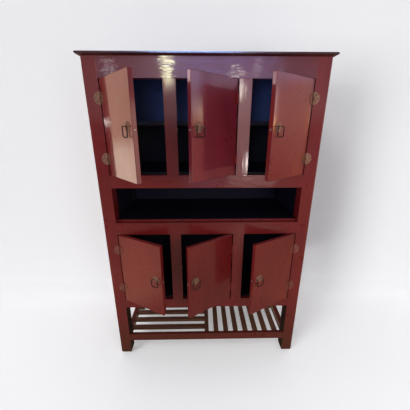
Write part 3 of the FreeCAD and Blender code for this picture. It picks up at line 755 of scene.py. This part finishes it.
def lamp(name, centre, target, width, height, power, tint, glossy=True, falls_on=()):
    data = bpy.data.lights.new(name, "AREA")
    data.shape = "RECTANGLE"
    data.size = width
    data.size_y = height
    data.energy = power
    data.color = tint
    light = bpy.data.objects.new(name, data)
    bpy.context.scene.collection.objects.link(light)
    light.location = centre
    light.rotation_mode = "QUATERNION"
    light.rotation_quaternion = (Vector(target) - Vector(centre)).to_track_quat("-Z", "Y")
    light.visible_camera = False
    light.visible_glossy = glossy
    limit_light(light, falls_on)


def sun(name, place, strength, width, tint, falls_on=()):
    """An even light from a direction, on all or on some objects alone with the shadows of the rest."""
    data = bpy.data.lights.new(name, "SUN")
    data.energy = strength
    data.angle = math.radians(width)
    data.color = tint
    light = bpy.data.objects.new(name, data)
    bpy.context.scene.collection.objects.link(light)
    light.location = place
    light.rotation_mode = "QUATERNION"
    light.rotation_quaternion = (-Vector(place)).to_track_quat("-Z", "Y")
    light.visible_camera = False
    light.visible_glossy = False
    limit_light(light, falls_on)


def lights(paper):
    middle = (0.0, 0.0, 0.95)
    sun("key", (-6.4, -5.6, 1.4), 0.42, 18.0, WARM_WHITE)
    sun("paper_sun", (-6.4, -5.6, -0.9), 1.20, 22.0, WHITE, [paper])
    sun("floor_sun", (-6.4, -5.6, 7.0), 0.90, 26.0, WHITE, [paper])
    lamp("front", (1.05, -2.3, 1.25), middle, 0.55, 0.6, 5.6, WARM_WHITE, glossy=False)
    lamp("fill", (1.8, -3.0, 2.4), middle, 2.0, 1.6, 2.4, (0.92, 0.94, 1.0), glossy=False)
    lamp("overhead", (0.0, -1.2, 4.4), (0.0, -1.2, 0.0), 5.0, 4.0, 26.0, (1.0, 0.99, 0.97), glossy=False)
    walls = [frame["nodes"][name] for name in ("back_panels", "back_rails", "side_panels")]
    inner_wall = (-0.12, 0.3, 1.5)
    lamp("inside", (-0.22, -1.6, 1.5), inner_wall, 0.4, 0.4, 9.5, WHITE, glossy=False, falls_on=walls)
    part = list(frame["nodes"].values())
    lamp("back_fill", (-1.5, 3.2, 1.3), middle, 2.0, 2.0, 25.0, FILL_WHITE, falls_on=part)
    lamp("side_fill", (3.4, 0.8, 2.0), middle, 1.8, 1.8, 10.0, FILL_WHITE, glossy=False, falls_on=part)
    lamp("left_fill", (-3.4, 0.2, 2.0), middle, 1.8, 1.8, 6.0, FILL_WHITE, glossy=False, falls_on=part)


def front_cards():
    """The room in front of the cabinet, as its posts, rails and mullions show it."""
    head = (0.0, 0.0, 1.6)
    card("room_card", (0.0, -3.9, 2.55), head, 8.0, 2.1, colour(0.38, 0.36, 0.38), colour(0.22, 0.19, 0.20))
    card("window_card", (1.0, -3.6, 1.25), head, 1.1, 2.3, colour(0.95, 0.76, 0.76), colour(1.5, 1.35, 1.35))
    card("sky_card", (0.3, -3.6, 2.9), head, 2.4, 2.0, colour(0.10, 0.10, 0.28), colour(1.0, 1.25, 3.4))
    card("low_sky_card", (0.05, -3.6, 0.45), head, 1.1, 0.6, colour(0.08, 0.22, 0.42), soft=0.3)
    top = [frame["nodes"]["top_board"], frame["nodes"]["front_top_rail"]]
    card("high_sky_card", (-0.12, -2.2, 4.3), head, 1.85, 3.0, colour(12.0, 20.0, 42.0),
         soft=0.2, falls_on=top)
    card("lamp_card", (-0.544, -3.0, 2.27), head, 0.22, 0.6, colour(1.0, 1.0, 0.8),
         colour(36.0, 36.0, 22.0), soft=0.35)
    card("left_lamp_card", (-1.44, -3.0, 2.33), head, 0.22, 0.22, colour(4.5, 4.2, 4.2), soft=0.4)
    card("right_lamp_card", (0.86, -3.0, 2.37), head, 0.14, 0.30, colour(5.0, 4.5, 4.5), soft=0.5)
    card("bar_card", (0.494, -3.0, 2.20), head, 0.23, 0.06, colour(32.0, 31.0, 25.0), soft=0.4)
    card("strip_card", (0.61, -3.0, 2.05), head, 0.09, 0.40, colour(20.0, 18.5, 16.0), soft=0.45)
    card("low_strip_card", (0.79, -3.0, 0.90), head, 0.09, 0.40, colour(42.0, 39.0, 37.0), soft=0.5)


def side_cards():
    """The room beside the cabinet, as its open doors show it."""
    door = (0.0, -0.2, 1.4)
    card("left_low_card", (-1.45, 0.30, 0.92), door, 0.9, 1.0, colour(1.0, 0.98, 0.85),
         colour(0.85, 0.80, 0.68), soft=0.15)
    card("left_high_card", (-1.45, 0.38, 1.45), door, 0.9, 1.8, colour(1.1, 0.68, 0.46),
         colour(0.75, 0.50, 0.39))
    post = (-0.545, -0.119, 1.483)
    card("left_glint_card", (-2.0, -0.895, 1.53), post, 0.08, 0.13, colour(50.0, 45.0, 42.0), soft=0.5)
    card("left_spot_card", (-1.45, -0.22, 1.96), door, 0.42, 0.32, colour(5.0, 3.9, 4.3), soft=0.35)
    card("right_warm_card", (2.3, 0.25, 1.7), door, 1.4, 2.2, colour(0.46, 0.05, 0.0),
         colour(0.62, 0.46, 0.42))
    card("right_cool_card", (2.3, -0.85, 2.2), door, 0.9, 1.3, colour(0.9, 0.85, 1.0), colour(1.05, 1.3, 2.1))
    card("right_low_card", (2.3, -0.80, 1.15), door, 1.0, 1.3, colour(0.85, 0.18, 0.10), soft=0.2)
    card("right_front_card", (2.3, -1.8, 1.1), door, 1.4, 1.8, colour(1.2, 0.90, 0.76),
         colour(1.65, 1.35, 1.15))
    card("right_top_card", (2.28, -0.10, 2.27), door, 1.4, 0.7, colour(0.16, 0.36, 0.75), soft=0.2)
    card("right_strip_card", (2.25, -0.27, 1.76), door, 0.10, 0.55, colour(4.5, 3.4, 3.0),
         colour(1.8, 1.4, 1.6), soft=0.4)
    card("right_glint_card", (2.24, -0.285, 1.53), door, 0.12, 0.20, colour(14.0, 7.0, 2.5), soft=0.5)
    card("right_spot_card", (2.2, -0.47, 1.68), door, 0.26, 0.46, colour(4.5, 3.2, 1.6),
         colour(1.6, 1.3, 1.2), soft=0.45)
    card("right_amber_card", (2.28, 0.14, 1.58), door, 0.12, 0.44, colour(0.55, 0.17, 0.02), soft=0.3)


def floor_cards():
    """Warm floor to the left, to the right and in front, as the lower half shows it."""
    for name, side, glow in (("left_floor_card", -1.6, colour(0.48, 0.20, 0.13)),
                             ("right_floor_card", 1.6, colour(0.16, 0.03, 0.01))):
        card(name, (side, -0.40, 0.02), (side, -0.40, 1.0), 1.6, 1.5, glow)
    card("front_floor_card", (0.75, -1.9, 0.02), (0.75, -1.9, 1.0), 0.8, 1.3,
         colour(0.45, 0.33, 0.28), soft=0.3)


def studio(paper):
    lights(paper)
    front_cards()
    side_cards()
    floor_cards()


def background():
    """White to the camera, a dim room to everything else."""
    world = bpy.data.worlds.new("studio")
    world.use_nodes = True
    bpy.context.scene.world = world
    shader = Shader(world.node_tree)
    path = shader.add("ShaderNodeLightPath").outputs
    room = shader.mix(path["Is Glossy Ray"], colour(0.155, 0.160, 0.190), colour(0.065, 0.070, 0.085))
    tone = shader.mix(path["Is Camera Ray"], room, colour(0.83, 0.83, 0.83))
    sky = shader.add("ShaderNodeBackground", {"Color": tone, "Strength": 1.0})
    output = shader.add("ShaderNodeOutputWorld")
    shader.tree.links.new(sky.outputs[0], output.inputs["Surface"])


def camera():
    data = bpy.data.cameras.new("camera")
    data.sensor_width = CAMERA_SENSOR
    data.lens = CAMERA_LENS
    eye = bpy.data.objects.new("camera", data)
    bpy.context.scene.collection.objects.link(eye)
    eye.location = CAMERA_PLACE
    eye.rotation_euler = (math.radians(90 - CAMERA_PITCH), 0, math.radians(-CAMERA_YAW))
    bpy.context.scene.camera = eye
    bpy.context.scene.view_settings.view_transform = "Standard"


dress_all()
nail_all()
studio(backdrop())
background()
camera()
